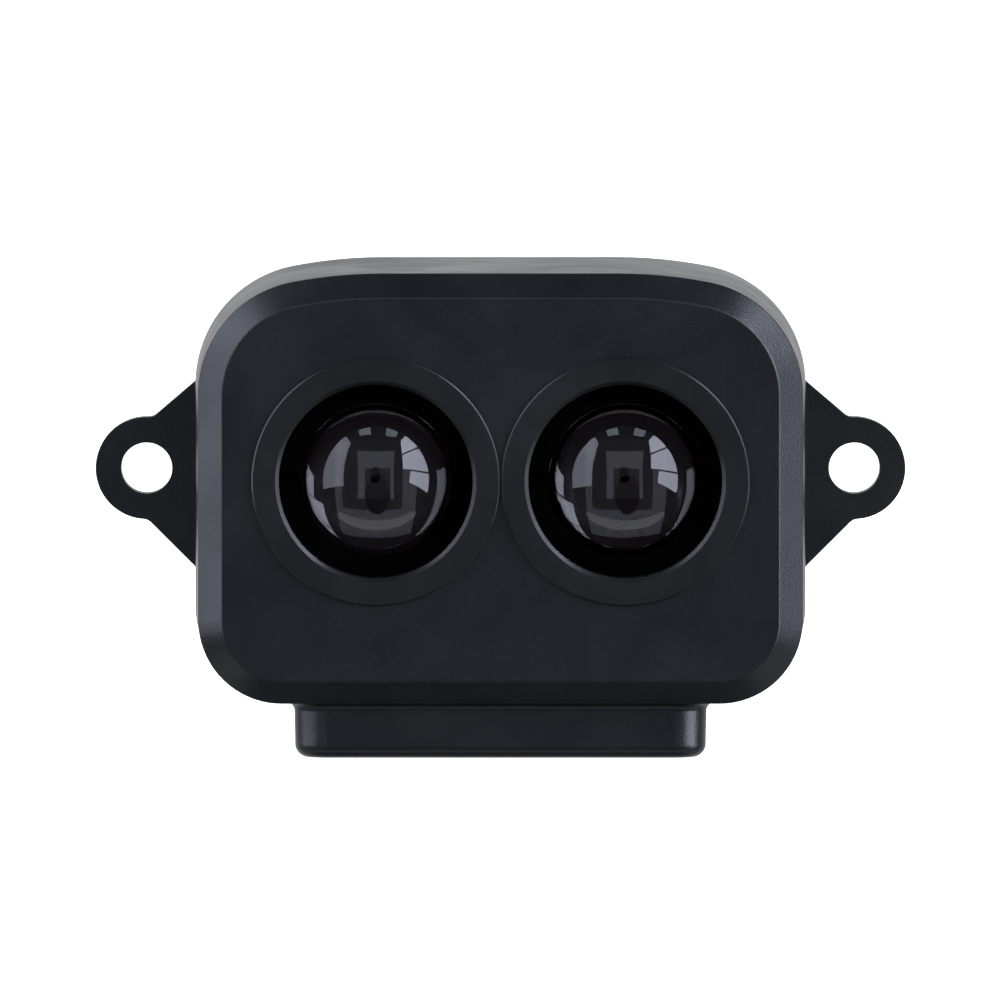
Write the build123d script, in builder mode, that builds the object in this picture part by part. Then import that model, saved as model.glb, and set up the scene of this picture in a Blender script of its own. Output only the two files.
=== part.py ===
"""Twin-lens time-of-flight distance sensor in a sealed housing with two ears.

Millimetres. +Z is up and the lenses look along -Y. The origin is midway
between the two mounting holes, on the rear face that lies on the mounting
surface. Depths are given as a height from that rear face towards the lenses,
so a height h lies at y = -h.
"""

import os
from math import cos, radians, sin, sqrt, tan

from build123d import *

# Overall sizes: the main body at its rear edge, and how far the ears reach out.
BODY_HALF_WIDTH = 26.0
BODY_TOP = 18.0
BODY_BOTTOM = -19.4
BODY_DEPTH = 26.0
LUG_REACH = 4.15
LUG_RADIUS = 4.35

# Shape of the main body, seen from the front.
CROWN_RADIUS = 40.6
CROWN_ANGLE = 11.0
TOP_CORNER = 10.3
BOTTOM_CORNER = 7.6
BODY_DRAFT = 1.6
BEVEL = 1.95
EDGE_ROUND = 0.22
WALL = 2.2
FRONT_WALL = 2.2

# Block under the body, which holds the cable socket.
BLOCK_HALF_WIDTH = 17.4
BLOCK_ROOT = 1.4
BLOCK_DROP = 4.1
BLOCK_SETBACK = 3.6
BLOCK_DRAFT = 1.2
BLOCK_CHEEK = 2.8
BLOCK_LIP = 1.1
BLOCK_FILLET = 0.7
BLOCK_WALL = 1.7

# Rear cover and ears.
COVER = 2.6
COVER_STEP = 0.12
COVER_CHAMFER = 0.3
LIP_WIDTH = 1.2
LIP_HEIGHT = 1.2
FIT = 0.15
HOLE_RADIUS = 2.175
GUSSET_TOP = 3.88
GUSSET_TOP_SLOPE = 40.5
GUSSET_LOW = -4.26
GUSSET_LOW_SLOPE = -45.0
GUSSET_FILLET = 1.0
GASKET_INSET = 0.5
GASKET_WIDTH = 0.8
GASKET_DEPTH = 0.5
LABEL = (29.6, 14.6)
LABEL_MARGIN = 0.2
LABEL_ROUND = 1.0
LABEL_POCKET = 0.3
LABEL_THICKNESS = 0.2

# Bezels.
BEZEL_BORE = 8.15
BEZEL_LAND = 1.49
BEZEL_GAP = 0.06
BEZEL_FLANGE = 0.45
BEZEL_EDGE = 0.12
BEZEL_CHAMFER = 0.3
SLEEVE_WALL = 0.8
SLEEVE_CLEARANCE = 0.05
SLEEVE_STOP = 0.1

# Lenses: both faces bulge, the rear one more.
LENS_FRONT_R = 8.0
LENS_REAR_R = 300.0
LENS_APERTURE = 6.4
LENS_REAR_APERTURE = 6.0
LENS_RIM = 0.85
LENS_STEP = 0.45
LENS_EDGE = 2.05
LENS_CLEARANCE = 0.1
RETAINER_CLEARANCE = 0.05
RETAINER_LAND = 0.85
RETAINER_THICKNESS = 0.8
RETAINER_CHAMFER = 0.4
SPANNER_SLOT = (1.2, 0.5)
SEAL = 0.5

# Optical bench: a flange that carries two lens tubes.
TUBE_WALL = 1.65
TUBE_MARGIN = 0.2
COLLAR_LAND = 1.0
COLLAR_HEIGHT = 1.5
FLANGE_DROP = 8.85
FLANGE_GAP = 0.3
FLANGE_HEIGHT = 17.6
FLANGE_THICKNESS = 2.0
FLANGE_ROUND = 2.5
WEB = (4.5, 10.0)
BAFFLES = 3
BAFFLE_RIB = 0.6
BAFFLE_THICKNESS = 0.5
BAFFLE_LOW_GAP = 0.4
BAFFLE_TOP_GAP = 1.4
FRONT_GASKET = 0.5

# Boards.
BOARD = 1.0
BOARD_POST_HEIGHT = 1.6
BOARD_SIDE_GAP = 0.4
BOARD_TOP_GAP = 0.8
BOARD_LOW_GAP = 0.4
TONGUE_HALF_WIDTH = 9.0
SENSOR_BOARD = 0.8
SENSOR_BOARD_LIFT = 2.0
SENSOR_BOARD_SIDE = 16.0
BOARD_ROUND = 1.0
HEADER = (7.6, 2.3)
HEADER_DROP = -4.6
HEADER_PINS = 4
HEADER_PITCH = 2.0
PIN_RADIUS = 0.3
PIN_TAIL = 0.5

# Components on the boards, each as width, height and thickness.
PROCESSOR = (7.0, 7.0, 1.0)
TIMING_CHIP = (5.0, 5.0, 0.9)
DRIVER_CHIP = (4.0, 4.0, 0.9)
THERMAL_PAD = (6.0, 6.0)
INDUCTOR = (4.0, 4.0, 1.8)
CRYSTAL = (3.2, 2.5, 0.8)
CAPACITOR = (1.6, 0.8, 0.8)
CAPACITOR_PITCH = 3.0
CAPACITORS = 5
CAPACITOR_EDGE = 1.8
DIODE = (3.5, 3.5, 0.6)
DIODE_DOME = (1.3, 0.6)
PHOTODIODE = (3.2, 2.8, 0.9)
SHIELD = (8.6, 7.0, 2.0)
SHIELD_SHEET = 0.25
SHIELD_WINDOW = 4.0
FILTER = (5.4, 5.4, 0.6)

# Screws as thread radius, head radius and head height.
COVER_SCREW = (1.0, 1.9, 1.2)
BENCH_SCREW = (1.0, 1.8, 1.1)
BOARD_SCREW = (0.9, 1.6, 1.0)
SENSOR_SCREW = (0.7, 1.3, 0.9)
SCREW_CLEARANCE = 0.15
HEAD_RECESS = 1.5
COVER_THREAD = 8.0
BENCH_THREAD = 5.0
BOARD_THREAD = 3.8
SENSOR_THREAD = 3.5
COVER_BOSS = 2.4
BENCH_BOSS = 2.2
BOARD_POST = 1.8
BOSS_SIDE, BOSS_DROP, BOSS_RISE = 3.2, 4.0, 3.0
BENCH_SIDE, BENCH_Z = 2.0, 6.4
POST_INSET = 2.4

# Cable socket.
SOCKET_CAVITY = (12.6, 4.4, 5.6)
SOCKET_WALLS = (1.1, 0.8)
SOCKET_DEPTH = 7.2
SOCKET_ROUND = 0.4
SOCKET_SEAL = 0.6
LATCH = (4.0, 2.0)
PORT_CLEARANCE = 0.2
PORT_ROUND = 0.6
CONTACTS = 6
CONTACT_PITCH = 2.0
CONTACT = 0.5
CONTACT_RECESS = 2.0
CONTACT_FOOT = 1.2

# Heights and places that follow from the sizes above.
FACE = BODY_DEPTH - BEZEL_FLANGE
CAVITY_TOP = FACE - FRONT_WALL
CAVITY_HALF_WIDTH = BODY_HALF_WIDTH - WALL
CAVITY_CEILING = BODY_TOP - WALL
CAVITY_FLOOR = BODY_BOTTOM + WALL
HOLE_X = BODY_HALF_WIDTH + LUG_REACH
BLOCK_START = BODY_BOTTOM + BLOCK_ROOT
BLOCK_BOTTOM = BODY_BOTTOM - BLOCK_DROP
BLOCK_FRONT = BODY_DEPTH - BLOCK_SETBACK
BLOCK_INNER = BLOCK_HALF_WIDTH - BLOCK_WALL
SLEEVE_RADIUS = BEZEL_BORE + SLEEVE_WALL
OPENING_RADIUS = SLEEVE_RADIUS + SLEEVE_CLEARANCE
BEZEL_RADIUS = SLEEVE_RADIUS + BEZEL_LAND
LENS_X = BEZEL_RADIUS + BEZEL_GAP / 2
TUBE_TOP = CAVITY_TOP - FRONT_GASKET
LENS_RADIUS = LENS_APERTURE + LENS_RIM
LENS_SEAT = TUBE_TOP - RETAINER_THICKNESS
RIM_REAR = LENS_SEAT - LENS_EDGE
LENS_POCKET = LENS_RADIUS + LENS_CLEARANCE
RETAINER_RADIUS = LENS_RADIUS + RETAINER_LAND
SEAL_BORE = LENS_RADIUS - SEAL
TUBE_BORE = LENS_APERTURE + TUBE_MARGIN
TUBE_RADIUS = LENS_POCKET + TUBE_WALL
COLLAR_RADIUS = OPENING_RADIUS + COLLAR_LAND
FLANGE_LOW = TUBE_TOP - FLANGE_DROP
FLANGE_TOP = FLANGE_LOW + FLANGE_THICKNESS
FLANGE_WIDTH = 2 * (CAVITY_HALF_WIDTH - FLANGE_GAP)
BOSS_X = CAVITY_HALF_WIDTH - BOSS_SIDE
BOSS_TOP = CAVITY_CEILING - BOSS_DROP
BOSS_LOW = CAVITY_FLOOR + BOSS_RISE
BENCH_X = CAVITY_HALF_WIDTH - BENCH_SIDE
MAIN_BOARD_LOW = COVER + BOARD_POST_HEIGHT
MAIN_BOARD_HALF = BOSS_X - COVER_BOSS - BOARD_SIDE_GAP
MAIN_BOARD_TOP = CAVITY_CEILING - BOARD_TOP_GAP
MAIN_BOARD_BASE = CAVITY_FLOOR + BOARD_LOW_GAP
POST_X = MAIN_BOARD_HALF - POST_INSET
POST_TOP = MAIN_BOARD_TOP - POST_INSET
POST_LOW = MAIN_BOARD_BASE + POST_INSET
BOARD_FACE = MAIN_BOARD_LOW + BOARD
SENSOR_BOARD_LOW = BOARD_FACE + SENSOR_BOARD_LIFT
SENSOR_FACE = SENSOR_BOARD_LOW + SENSOR_BOARD
SENSOR_SCREW_OFFSET = (TUBE_BORE + TUBE_RADIUS) / 2 / sqrt(2)
SOCKET_WIDTH = SOCKET_CAVITY[0] + 2 * SOCKET_WALLS[0]
SOCKET_HEIGHT = SOCKET_CAVITY[1] + 2 * SOCKET_WALLS[1]
PORT = (SOCKET_CAVITY[0] + 2 * PORT_CLEARANCE, SOCKET_CAVITY[1] + 2 * PORT_CLEARANCE)
SOCKET_MID = BOARD_FACE + SOCKET_HEIGHT / 2
PORT_FACE = BLOCK_BOTTOM + BLOCK_WALL
SOCKET_MOUTH = PORT_FACE + SOCKET_SEAL
SOCKET_BACK = SOCKET_MOUTH + SOCKET_DEPTH
LENS_CENTRES = [(-LENS_X, 0), (LENS_X, 0)]
COVER_SCREWS = [(x, z) for x in (-BOSS_X, BOSS_X) for z in (BOSS_TOP, BOSS_LOW)]
BENCH_SCREWS = [(x, z) for x in (-BENCH_X, BENCH_X) for z in (-BENCH_Z, BENCH_Z)]
BOARD_SCREWS = [(x, z) for x in (-POST_X, POST_X) for z in (POST_TOP, POST_LOW)]


def sensor_screws(centre):
    """The two screw places on one diagonal of a sensor board."""
    step = SENSOR_SCREW_OFFSET
    return [(centre - step, -step), (centre + step, step)]


def header_pins(centre):
    """The pin places of the header under one sensor board."""
    first = centre - (HEADER_PINS - 1) * HEADER_PITCH / 2
    return [(first + pin * HEADER_PITCH, HEADER_DROP) for pin in range(HEADER_PINS)]


ALL_SENSOR_SCREWS = sensor_screws(-LENS_X) + sensor_screws(LENS_X)
ALL_PINS = header_pins(-LENS_X) + header_pins(LENS_X)


def level(height):
    """The plane parallel to the rear face at a height towards the lenses."""
    return Plane.XZ.offset(height)


def sag(radius, distance):
    """How far a spherical face falls away at a distance from its axis."""
    return radius - sqrt(radius**2 - distance**2)


LENS_VERTEX = LENS_SEAT + LENS_STEP + sag(LENS_FRONT_R, LENS_APERTURE)
LENS_REAR = RIM_REAR - sag(LENS_REAR_R, LENS_REAR_APERTURE)
BAFFLE_FIRST = SENSOR_FACE + SHIELD[2] + FILTER[2] + BAFFLE_LOW_GAP
BAFFLE_LAST = LENS_REAR - BAFFLE_TOP_GAP - BAFFLE_THICKNESS
BAFFLE_PITCH = (BAFFLE_LAST - BAFFLE_FIRST) / (BAFFLES - 1)


def body_outline(inset=0.0):
    """The body seen from the front: a crowned top and rounded corners."""
    half, top, bottom = BODY_HALF_WIDTH - inset, BODY_TOP - inset, BODY_BOTTOM + inset
    crown, corner, foot = CROWN_RADIUS - inset, TOP_CORNER - inset, BOTTOM_CORNER - inset
    lean = radians(CROWN_ANGLE)
    flat = half - corner - (crown - corner) * sin(lean)
    corner_z = top - crown + (crown - corner) * cos(lean)
    with BuildLine() as outline:
        Line((0, bottom), (half - foot, bottom))
        CenterArc((half - foot, bottom + foot), foot, -90, 90)
        Line((half, bottom + foot), (half, corner_z))
        CenterArc((half - corner, corner_z), corner, 0, 90 - CROWN_ANGLE)
        CenterArc((flat, top - crown), crown, 90 - CROWN_ANGLE, CROWN_ANGLE)
        Line((flat, top), (0, top))
        mirror(about=Plane.YZ)
    make_face(outline.edges())


def block_outline(inset=0.0):
    """The block seen from the front, reaching up into the body."""
    height = BLOCK_START - BLOCK_BOTTOM + WALL
    with Locations((0, BLOCK_BOTTOM + inset)):
        Rectangle(2 * (BLOCK_HALF_WIDTH - inset), height, align=(Align.CENTER, Align.MIN))


def lug_outline(side):
    """One ear and the gussets that carry it into the body."""
    reach = HOLE_X - BODY_HALF_WIDTH + WALL
    inner = side * (HOLE_X - reach)
    top = GUSSET_TOP + reach * tan(radians(GUSSET_TOP_SLOPE))
    low = GUSSET_LOW + reach * tan(radians(GUSSET_LOW_SLOPE))
    outer = side * HOLE_X
    with BuildLine() as gusset:
        Polyline((outer, GUSSET_TOP), (inner, top), (inner, low), (outer, GUSSET_LOW), close=True)
    make_face(gusset.edges())
    with Locations((outer, 0)):
        Circle(LUG_RADIUS)


def is_lug_corner(vertex):
    """Whether a gusset edge meets the round of an ear at this vertex."""
    out = Vector(abs(vertex.X) - HOLE_X, vertex.Y)
    return abs(out.length - LUG_RADIUS) < 1e-3 and abs(out.Y) > LUG_RADIUS / 2


def cylinders(places, low, high, radius, mode=Mode.ADD):
    """Cylinders of one size between two heights."""
    with BuildSketch(level(low)) as rounds:
        with Locations(*places):
            Circle(radius)
    extrude(rounds.sketch, amount=high - low, mode=mode)


def screws(places, seat, thread, size):
    """Pan-head screws with a hexagon socket; a negative thread points rearwards."""
    radius, head, height = size
    out = -height if thread > 0 else height
    cylinders(places, seat, seat + thread, radius)
    cylinders(places, seat, seat + out, head)
    rim = edges().group_by(Axis.Y)[0 if out > 0 else -1]
    fillet(rim, 0.3 * height)
    with BuildSketch(level(seat + out)) as drives:
        with Locations(*places):
            RegularPolygon(0.5 * head, 6)
    extrude(drives.sketch, amount=-0.6 * out, mode=Mode.SUBTRACT)


def chip(place, low, size, soften=0.1):
    """One packaged component that sits on a board face at height low."""
    width, tall, thick = size
    with BuildSketch(level(low)) as footprint:
        with Locations(place):
            Rectangle(width, tall)
    extrude(footprint.sketch, amount=thick)
    chamfer(edges().group_by(Axis.Y)[0], soften)


def turned(centre, points):
    """A ring around one lens axis from (radius, height) corners."""
    with BuildSketch(Plane.XY) as section:
        with BuildLine():
            Polyline(*[(centre + radius, -height) for radius, height in points], close=True)
        make_face()
    revolve(section.sketch, axis=Axis((centre, 0, 0), (0, 1, 0)))


def bezel(centre):
    """A flat flange on the front face with a sleeve through the wall."""
    stop = CAVITY_TOP + SLEEVE_STOP
    turned(centre, [
        (BEZEL_BORE, stop),
        (SLEEVE_RADIUS, stop),
        (SLEEVE_RADIUS, FACE),
        (BEZEL_RADIUS, FACE),
        (BEZEL_RADIUS, BODY_DEPTH - BEZEL_EDGE),
        (BEZEL_RADIUS - BEZEL_EDGE, BODY_DEPTH),
        (BEZEL_BORE + BEZEL_CHAMFER, BODY_DEPTH),
        (BEZEL_BORE, BODY_DEPTH - BEZEL_CHAMFER),
    ])


def lens(centre):
    """A thick plano-convex lens with a flat rim at the rear, the curved face forward."""
    edge, rear_edge = LENS_APERTURE, LENS_REAR_APERTURE
    front_half = LENS_VERTEX - sag(LENS_FRONT_R, edge / 2)
    rear_half = LENS_REAR + sag(LENS_REAR_R, rear_edge / 2)
    with BuildSketch(Plane.XY) as section:
        with BuildLine():
            ThreePointArc(
                (centre, -LENS_VERTEX),
                (centre + edge / 2, -front_half),
                (centre + edge, -LENS_SEAT - LENS_STEP),
            )
            Polyline(
                (centre + edge, -LENS_SEAT - LENS_STEP),
                (centre + edge, -LENS_SEAT),
                (centre + LENS_RADIUS, -LENS_SEAT),
                (centre + LENS_RADIUS, -RIM_REAR),
                (centre + rear_edge, -RIM_REAR),
            )
            ThreePointArc(
                (centre + rear_edge, -RIM_REAR),
                (centre + rear_edge / 2, -rear_half),
                (centre, -LENS_REAR),
            )
            Line((centre, -LENS_REAR), (centre, -LENS_VERTEX))
        make_face()
    revolve(section.sketch, axis=Axis((centre, 0, 0), (0, 1, 0)))


def lens_seal(centre):
    """A flat ring under the rim of one lens."""
    turned(centre, [
        (SEAL_BORE, RIM_REAR - SEAL),
        (SEAL_BORE + SEAL, RIM_REAR - SEAL),
        (SEAL_BORE + SEAL, RIM_REAR),
        (SEAL_BORE, RIM_REAR),
    ])


def retainer(centre):
    """A threaded ring over one lens rim, with two spanner slots."""
    bore = LENS_APERTURE + RETAINER_CLEARANCE
    turned(centre, [
        (bore, LENS_SEAT),
        (RETAINER_RADIUS, LENS_SEAT),
        (RETAINER_RADIUS, TUBE_TOP),
        (bore + RETAINER_CHAMFER, TUBE_TOP),
        (bore, TUBE_TOP - RETAINER_CHAMFER),
    ])
    width, depth = SPANNER_SLOT
    with BuildSketch(level(TUBE_TOP)) as slots:
        with Locations((centre, 0)):
            Rectangle(3 * RETAINER_RADIUS, width)
    extrude(slots.sketch, amount=-depth, mode=Mode.SUBTRACT)


def sensor_board(centre):
    """A square board screwed to the rear end of one tube."""
    with BuildSketch(level(SENSOR_BOARD_LOW)) as board:
        with Locations((centre, 0)):
            RectangleRounded(SENSOR_BOARD_SIDE, SENSOR_BOARD_SIDE, BOARD_ROUND)
        with Locations(*sensor_screws(centre)):
            Circle(SENSOR_SCREW[0] + SCREW_CLEARANCE, mode=Mode.SUBTRACT)
        with Locations(*header_pins(centre)):
            Circle(PIN_RADIUS, mode=Mode.SUBTRACT)
    extrude(board.sketch, amount=SENSOR_BOARD)


def header(centre):
    """The plastic spacer of a pin header between the boards."""
    with BuildSketch(level(BOARD_FACE)) as spacer:
        with Locations((centre, HEADER_DROP)):
            Rectangle(*HEADER)
        with Locations(*header_pins(centre)):
            Circle(PIN_RADIUS, mode=Mode.SUBTRACT)
    extrude(spacer.sketch, amount=SENSOR_BOARD_LOW - BOARD_FACE)


with BuildPart() as front_housing:
    with BuildSketch(level(COVER)):
        body_outline()
    extrude(amount=FACE - COVER, taper=BODY_DRAFT)
    chamfer(faces().sort_by(Axis.Y)[0].edges(), BEVEL)
    bevel_loops = edges().filter_by(Plane.XZ).group_by(Axis.Y)
    fillet(bevel_loops[0] + bevel_loops[1], EDGE_ROUND)
    # The socket block grows downwards out of the lower wall.
    with BuildSketch(Plane.XY.offset(BLOCK_START)):
        Rectangle(2 * BLOCK_HALF_WIDTH, BLOCK_FRONT, align=(Align.CENTER, Align.MAX))
        fillet(vertices().group_by(Axis.Y)[0], BLOCK_CHEEK)
    extrude(amount=BLOCK_BOTTOM - BLOCK_START, taper=BLOCK_DRAFT)
    fillet(edges(Select.NEW).filter_by(lambda seam: seam.center().Y < -COVER - BEVEL), BLOCK_FILLET)
    fillet(edges().group_by(Axis.Z)[0], BLOCK_LIP)
    with BuildSketch(level(0)):
        Rectangle(4 * BODY_HALF_WIDTH, 4 * BODY_HALF_WIDTH)
    extrude(amount=COVER, mode=Mode.SUBTRACT)
    with BuildSketch(level(COVER)):
        body_outline(WALL)
    extrude(amount=CAVITY_TOP - COVER, mode=Mode.SUBTRACT)
    with BuildSketch(level(COVER)):
        with Locations((0, PORT_FACE)):
            Rectangle(2 * BLOCK_INNER, BLOCK_START - PORT_FACE + WALL, align=(Align.CENTER, Align.MIN))
    extrude(amount=BLOCK_FRONT - BLOCK_WALL - COVER, mode=Mode.SUBTRACT)
    # Bosses for the cover and for the optical bench.
    cylinders(COVER_SCREWS, COVER, CAVITY_TOP, COVER_BOSS)
    cylinders(BENCH_SCREWS, FLANGE_TOP, CAVITY_TOP, BENCH_BOSS)
    cylinders(COVER_SCREWS, COVER, HEAD_RECESS + COVER_THREAD, COVER_SCREW[0], Mode.SUBTRACT)
    cylinders(BENCH_SCREWS, FLANGE_TOP, FLANGE_LOW + BENCH_THREAD, BENCH_SCREW[0], Mode.SUBTRACT)
    cylinders(LENS_CENTRES, CAVITY_TOP, FACE, OPENING_RADIUS, Mode.SUBTRACT)
    with BuildSketch(Plane.XY.offset(BLOCK_BOTTOM)):
        with Locations((0, -SOCKET_MID)):
            RectangleRounded(*PORT, PORT_ROUND)
    extrude(amount=BLOCK_WALL, mode=Mode.SUBTRACT)

with BuildPart() as rear_cover:
    with BuildSketch(level(0)):
        lug_outline(-1)
        lug_outline(1)
        fillet(vertices().filter_by(is_lug_corner), GUSSET_FILLET)
        body_outline(COVER_STEP)
        block_outline(COVER_STEP)
        fillet(vertices().group_by(Axis.Y)[0], BLOCK_LIP)
        with Locations((-HOLE_X, 0), (HOLE_X, 0)):
            Circle(HOLE_RADIUS, mode=Mode.SUBTRACT)
    extrude(amount=COVER)
    chamfer(faces().sort_by(Axis.Y)[-1].outer_wire().edges(), COVER_CHAMFER)
    # A locating lip inside the housing, and the groove of the gasket.
    with BuildSketch(level(COVER)):
        body_outline(WALL + FIT)
        with BuildSketch(mode=Mode.SUBTRACT):
            body_outline(WALL + FIT + LIP_WIDTH)
        with Locations(*COVER_SCREWS):
            Circle(COVER_BOSS + FIT, mode=Mode.SUBTRACT)
    extrude(amount=LIP_HEIGHT)
    with BuildSketch(level(COVER)):
        body_outline(GASKET_INSET)
        block_outline(GASKET_INSET)
        with BuildSketch(mode=Mode.SUBTRACT):
            body_outline(GASKET_INSET + GASKET_WIDTH)
            block_outline(GASKET_INSET + GASKET_WIDTH)
    extrude(amount=-GASKET_DEPTH, mode=Mode.SUBTRACT)
    cylinders(BOARD_SCREWS, COVER, MAIN_BOARD_LOW, BOARD_POST)
    board_tip = BOARD_FACE - BOARD_THREAD
    cylinders(BOARD_SCREWS, board_tip, MAIN_BOARD_LOW, BOARD_SCREW[0], Mode.SUBTRACT)
    cylinders(COVER_SCREWS, 0, COVER, COVER_SCREW[0] + SCREW_CLEARANCE, Mode.SUBTRACT)
    cylinders(COVER_SCREWS, 0, HEAD_RECESS, COVER_SCREW[1] + SCREW_CLEARANCE, Mode.SUBTRACT)
    with BuildSketch(level(0)):
        RectangleRounded(LABEL[0] + 2 * LABEL_MARGIN, LABEL[1] + 2 * LABEL_MARGIN, LABEL_ROUND)
    extrude(amount=LABEL_POCKET, mode=Mode.SUBTRACT)

with BuildPart() as cover_gasket:
    with BuildSketch(level(COVER - GASKET_DEPTH)):
        body_outline(GASKET_INSET)
        block_outline(GASKET_INSET)
        with BuildSketch(mode=Mode.SUBTRACT):
            body_outline(GASKET_INSET + GASKET_WIDTH)
            block_outline(GASKET_INSET + GASKET_WIDTH)
    extrude(amount=GASKET_DEPTH)

with BuildPart() as cover_screws:
    screws(COVER_SCREWS, HEAD_RECESS, COVER_THREAD, COVER_SCREW)

with BuildPart() as rear_label:
    with BuildSketch(level(LABEL_POCKET - LABEL_THICKNESS)):
        RectangleRounded(*LABEL, LABEL_ROUND)
    extrude(amount=LABEL_THICKNESS)

with BuildPart() as emitter_bezel:
    bezel(-LENS_X)

with BuildPart() as receiver_bezel:
    bezel(LENS_X)

with BuildPart() as emitter_lens:
    lens(-LENS_X)

with BuildPart() as receiver_lens:
    lens(LENS_X)

with BuildPart() as emitter_lens_seal:
    lens_seal(-LENS_X)

with BuildPart() as receiver_lens_seal:
    lens_seal(LENS_X)

with BuildPart() as emitter_retainer:
    retainer(-LENS_X)

with BuildPart() as receiver_retainer:
    retainer(LENS_X)

with BuildPart() as optical_bench:
    with BuildSketch(level(FLANGE_LOW)):
        RectangleRounded(FLANGE_WIDTH, FLANGE_HEIGHT, FLANGE_ROUND)
    extrude(amount=FLANGE_THICKNESS)
    cylinders(LENS_CENTRES, SENSOR_FACE, TUBE_TOP, TUBE_RADIUS)
    cylinders(LENS_CENTRES, TUBE_TOP - COLLAR_HEIGHT, TUBE_TOP, COLLAR_RADIUS)
    with BuildSketch(level(SENSOR_FACE)):
        Rectangle(*WEB)
    extrude(amount=TUBE_TOP - SENSOR_FACE)
    cylinders(LENS_CENTRES, SENSOR_FACE, TUBE_TOP, TUBE_BORE, Mode.SUBTRACT)
    for baffle in range(BAFFLES):
        with BuildSketch(level(BAFFLE_FIRST + baffle * BAFFLE_PITCH)):
            with Locations(*LENS_CENTRES):
                Circle(TUBE_BORE)
                Circle(TUBE_BORE - BAFFLE_RIB, mode=Mode.SUBTRACT)
        extrude(amount=BAFFLE_THICKNESS)
    cylinders(LENS_CENTRES, RIM_REAR, TUBE_TOP, LENS_POCKET, Mode.SUBTRACT)
    cylinders(LENS_CENTRES, LENS_SEAT, TUBE_TOP, RETAINER_RADIUS, Mode.SUBTRACT)
    with BuildSketch(level(RIM_REAR)):
        with Locations(*LENS_CENTRES):
            Circle(SEAL_BORE + SEAL)
            Circle(SEAL_BORE, mode=Mode.SUBTRACT)
    extrude(amount=-SEAL, mode=Mode.SUBTRACT)
    bench_hole = BENCH_SCREW[0] + SCREW_CLEARANCE
    cylinders(BENCH_SCREWS, FLANGE_LOW, FLANGE_TOP, bench_hole, Mode.SUBTRACT)
    sensor_tip = SENSOR_BOARD_LOW + SENSOR_THREAD
    cylinders(ALL_SENSOR_SCREWS, SENSOR_FACE, sensor_tip, SENSOR_SCREW[0], Mode.SUBTRACT)

with BuildPart() as front_gasket:
    with BuildSketch(level(TUBE_TOP)):
        with Locations(*LENS_CENTRES):
            Circle(COLLAR_RADIUS)
        Rectangle(*WEB)
        with Locations(*LENS_CENTRES):
            Circle(OPENING_RADIUS, mode=Mode.SUBTRACT)
    extrude(amount=FRONT_GASKET)

with BuildPart() as bench_screws:
    screws(BENCH_SCREWS, FLANGE_LOW, BENCH_THREAD, BENCH_SCREW)

with BuildPart() as emitter_board:
    sensor_board(-LENS_X)

with BuildPart() as receiver_board:
    sensor_board(LENS_X)

with BuildPart() as sensor_board_screws:
    screws(ALL_SENSOR_SCREWS, SENSOR_BOARD_LOW, SENSOR_THREAD, SENSOR_SCREW)

with BuildPart() as emitter_diode:
    chip((-LENS_X, 0), SENSOR_FACE, DIODE)
    dome_radius, dome_height = DIODE_DOME
    diode_top = SENSOR_FACE + DIODE[2]
    cylinders([(-LENS_X, 0)], diode_top, diode_top + dome_height, dome_radius)
    fillet(edges().group_by(Axis.Y)[0], 0.8 * dome_height)

with BuildPart() as photodiode:
    chip((LENS_X, 0), SENSOR_FACE, PHOTODIODE)

with BuildPart() as receiver_shield:
    with BuildSketch(level(SENSOR_FACE)):
        with Locations((LENS_X, 0)):
            RectangleRounded(SHIELD[0], SHIELD[1], 2 * SHIELD_SHEET)
    extrude(amount=SHIELD[2])
    with BuildSketch(level(SENSOR_FACE)):
        with Locations((LENS_X, 0)):
            Rectangle(SHIELD[0] - 2 * SHIELD_SHEET, SHIELD[1] - 2 * SHIELD_SHEET)
    extrude(amount=SHIELD[2] - SHIELD_SHEET, mode=Mode.SUBTRACT)
    with BuildSketch(level(SENSOR_FACE)):
        with Locations((LENS_X, 0)):
            Rectangle(SHIELD_WINDOW, SHIELD_WINDOW)
    extrude(amount=SHIELD[2], mode=Mode.SUBTRACT)

with BuildPart() as bandpass_filter:
    chip((LENS_X, 0), SENSOR_FACE + SHIELD[2], FILTER)

with BuildPart() as emitter_header:
    header(-LENS_X)

with BuildPart() as receiver_header:
    header(LENS_X)

with BuildPart() as board_pins:
    cylinders(ALL_PINS, MAIN_BOARD_LOW - PIN_TAIL, SENSOR_FACE + PIN_TAIL, PIN_RADIUS)

with BuildPart() as main_board:
    with BuildSketch(level(MAIN_BOARD_LOW)):
        with Locations((0, (MAIN_BOARD_TOP + MAIN_BOARD_BASE) / 2)):
            board_height = MAIN_BOARD_TOP - MAIN_BOARD_BASE
            RectangleRounded(2 * MAIN_BOARD_HALF, board_height, BOARD_ROUND)
        with Locations((0, PORT_FACE)):
            tongue = MAIN_BOARD_BASE - PORT_FACE + BOARD_ROUND
            Rectangle(2 * TONGUE_HALF_WIDTH, tongue, align=(Align.CENTER, Align.MIN))
        with Locations(*BOARD_SCREWS):
            Circle(BOARD_SCREW[0] + SCREW_CLEARANCE, mode=Mode.SUBTRACT)
        with Locations(*ALL_PINS):
            Circle(PIN_RADIUS, mode=Mode.SUBTRACT)
    extrude(amount=BOARD)

with BuildPart() as board_screws:
    screws(BOARD_SCREWS, BOARD_FACE, -BOARD_THREAD, BOARD_SCREW)

with BuildPart() as processor:
    chip((0, 8.2), BOARD_FACE, PROCESSOR)

with BuildPart() as timing_chip:
    chip((LENS_X, 1.0), BOARD_FACE, TIMING_CHIP)

with BuildPart() as driver_chip:
    chip((-LENS_X, 2.0), MAIN_BOARD_LOW - DRIVER_CHIP[2], DRIVER_CHIP, 0.05)

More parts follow.
